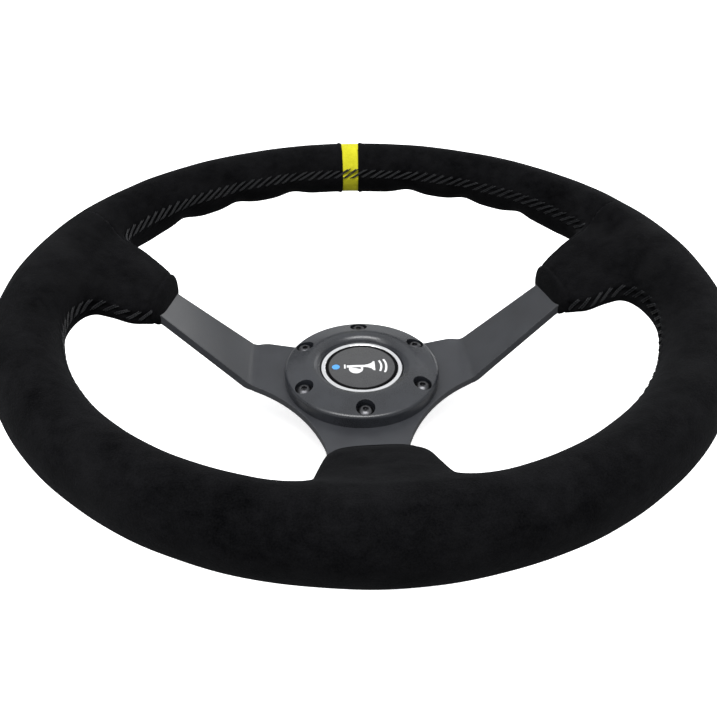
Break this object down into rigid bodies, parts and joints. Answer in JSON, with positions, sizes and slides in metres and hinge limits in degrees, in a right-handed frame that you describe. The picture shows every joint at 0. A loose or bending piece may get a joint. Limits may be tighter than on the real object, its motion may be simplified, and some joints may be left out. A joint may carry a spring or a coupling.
{
  "type": "quick release steering wheel",
  "caption": "Deep-dish suede-covered racing steering wheel with bent spokes, a sprung horn button and a pull-collar ball-lock quick release.",
  "frame": {"origin": "on the steering axis, at the quick release's rear mouth", "axes": "+Z along the steering axis towards the driver, +Y to twelve o'clock, +X to the driver's right"},
  "size_m": [0.35, 0.35, 0.1114],
  "materials": {
    "suede_black": "napped suede, near black",
    "suede_yellow": "napped suede, bright yellow",
    "thread": "waxed black polyester thread",
    "foam": "moulded foam, hidden under the cover",
    "tube": "drawn tube, hidden inside the rim",
    "spoke_black": "satin slate-black coating",
    "rivet_steel": "plain",
    "ring_black": "satin black anodised, turned",
    "screw_black": "black oxide",
    "bezel_silver": "bright",
    "button_black": "smooth black moulding",
    "badge": "glossy domed disc with a plain horn sign",
    "housing_black": "moulded nylon",
    "seal_rubber": "nitrile rubber",
    "spring_steel": "drawn spring wire",
    "contact_brass": "stamped brass",
    "wire_red": "insulated wire",
    "wire_dark": "insulated wire",
    "terminal_tin": "tinned brass",
    "zinc_steel": "zinc plated",
    "hub_black": "hard anodised black",
    "collar_red": "anodised dark red, turned",
    "ball_steel": "polished bearing ball",
    "clip_steel": "phosphated spring steel",
    "bush_white": "natural nylon"
  },
  "bodies": {
    "wheel": {"rim_foam": "foam", "suede_lower": "suede_black", "suede_upper_left": "suede_black", "suede_upper_right": "suede_black", "centre_stripe": "suede_yellow", "stitch_upper": "thread", "stitch_lower_left": "thread", "stitch_lower_right": "thread", "core_ring": "tube", "spoke_plate": "spoke_black", "spoke_rivets": "rivet_steel", "horn_ring": "ring_black", "ring_screws": "screw_black", "horn_housing": "housing_black", "housing_seal": "seal_rubber", "horn_bezel": "bezel_silver", "horn_springs": "spring_steel", "fixed_contact_left": "contact_brass", "fixed_contact_right": "contact_brass", "signal_terminal": "terminal_tin", "ground_terminal": "terminal_tin", "ring_terminal": "terminal_tin", "signal_wire": "wire_red", "ground_wire": "wire_dark", "ground_screw": "zinc_steel", "coupler_hub": "hub_black", "collar_spring": "spring_steel", "collar_circlip": "clip_steel", "plunger_bush": "bush_white", "plunger_spring": "spring_steel", "contact_cap": "contact_brass"},
    "horn_button": {"horn_cap": "button_black", "horn_badge": "badge", "moving_contact": "contact_brass", "contact_rivet": "contact_brass"},
    "release_collar": {"release_collar": "collar_red"},
    "contact_plunger": {"contact_plunger": "contact_brass"},
    "lock_ball_1": {"lock_ball_1": "ball_steel"},
    "lock_ball_2": {"lock_ball_2": "ball_steel"},
    "lock_ball_3": {"lock_ball_3": "ball_steel"},
    "lock_ball_4": {"lock_ball_4": "ball_steel"},
    "lock_ball_5": {"lock_ball_5": "ball_steel"},
    "lock_ball_6": {"lock_ball_6": "ball_steel"}
  },
  "joints": [
    {"name": "horn_press", "type": "slide", "parent": "wheel", "child": "horn_button", "axis": [0, 0, -1], "range_m": [0, 0.0016], "stiffness_N_per_m": 1500, "springref_m": -0.004, "deforming": ["horn_springs"]},
    {"name": "collar_slide", "type": "slide", "parent": "wheel", "child": "release_collar", "axis": [0, 0, 1], "range_m": [0, 0.005], "stiffness_N_per_m": 1200, "springref_m": -0.006, "deforming": ["collar_spring"]},
    {"name": "plunger_slide", "type": "slide", "parent": "wheel", "child": "contact_plunger", "axis": [0, 0, 1], "range_m": [0, 0.0012], "stiffness_N_per_m": 300, "springref_m": -0.001, "deforming": ["plunger_spring"]},
    {"name": "ball_1_slide", "type": "slide", "parent": "wheel", "child": "lock_ball_1", "axis": [1, 0, 0], "range_m": [0, 0.0018]},
    {"name": "ball_2_slide", "type": "slide", "parent": "wheel", "child": "lock_ball_2", "axis": [0.5, 0.866, 0], "range_m": [0, 0.0018]},
    {"name": "ball_3_slide", "type": "slide", "parent": "wheel", "child": "lock_ball_3", "axis": [-0.5, 0.866, 0], "range_m": [0, 0.0018]},
    {"name": "ball_4_slide", "type": "slide", "parent": "wheel", "child": "lock_ball_4", "axis": [-1, 0, 0], "range_m": [0, 0.0018]},
    {"name": "ball_5_slide", "type": "slide", "parent": "wheel", "child": "lock_ball_5", "axis": [-0.5, -0.866, 0], "range_m": [0, 0.0018]},
    {"name": "ball_6_slide", "type": "slide", "parent": "wheel", "child": "lock_ball_6", "axis": [0.5, -0.866, 0], "range_m": [0, 0.0018]}
  ],
  "couplings": [
    {"joint": "ball_1_slide", "follows": "collar_slide", "ratio": 0.36},
    {"joint": "ball_2_slide", "follows": "collar_slide", "ratio": 0.36},
    {"joint": "ball_3_slide", "follows": "collar_slide", "ratio": 0.36},
    {"joint": "ball_4_slide", "follows": "collar_slide", "ratio": 0.36},
    {"joint": "ball_5_slide", "follows": "collar_slide", "ratio": 0.36},
    {"joint": "ball_6_slide", "follows": "collar_slide", "ratio": 0.36}
  ]
}
